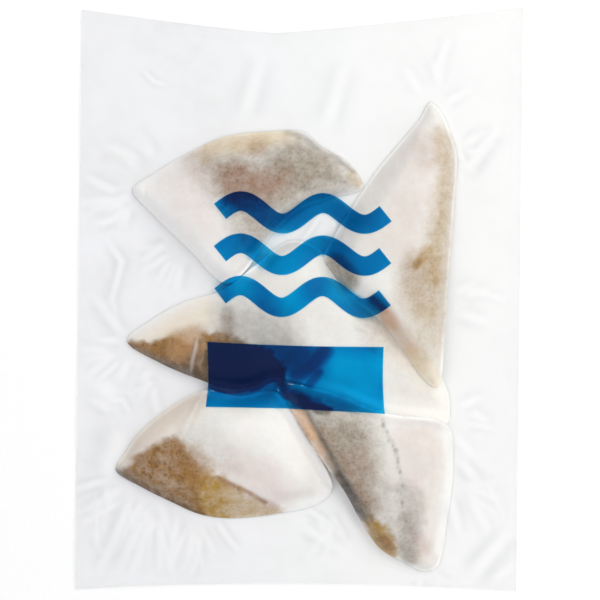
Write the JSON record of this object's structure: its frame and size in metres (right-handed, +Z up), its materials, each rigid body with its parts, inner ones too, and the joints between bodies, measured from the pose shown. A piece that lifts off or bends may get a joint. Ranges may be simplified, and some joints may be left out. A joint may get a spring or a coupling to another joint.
{
  "type": "vacuum pack of skin-on cod fillets",
  "caption": "Flat sealed clear pouch of skin-on cod fillets, with a plain blue printed bar and waves, to lie in a freezer, crate or shop tray.",
  "frame": {"origin": "under the middle of the pouch, on the surface that it lies on", "axes": "+Y along the pouch towards its wide empty end, +X across it, +Z up out of the shown side"},
  "size_m": [0.23, 0.306, 0.0173],
  "materials": {
    "film": "clear nylon and polyethylene pouch film, glossy, drawn tight and creased",
    "flesh": "raw cod: white to pink belly, cream cut flesh and speckled brown back skin",
    "print": "translucent blue ink on the film's outside"
  },
  "bodies": {
    "root": {"fillet_pack": "film"}
  },
  "joints": []
}
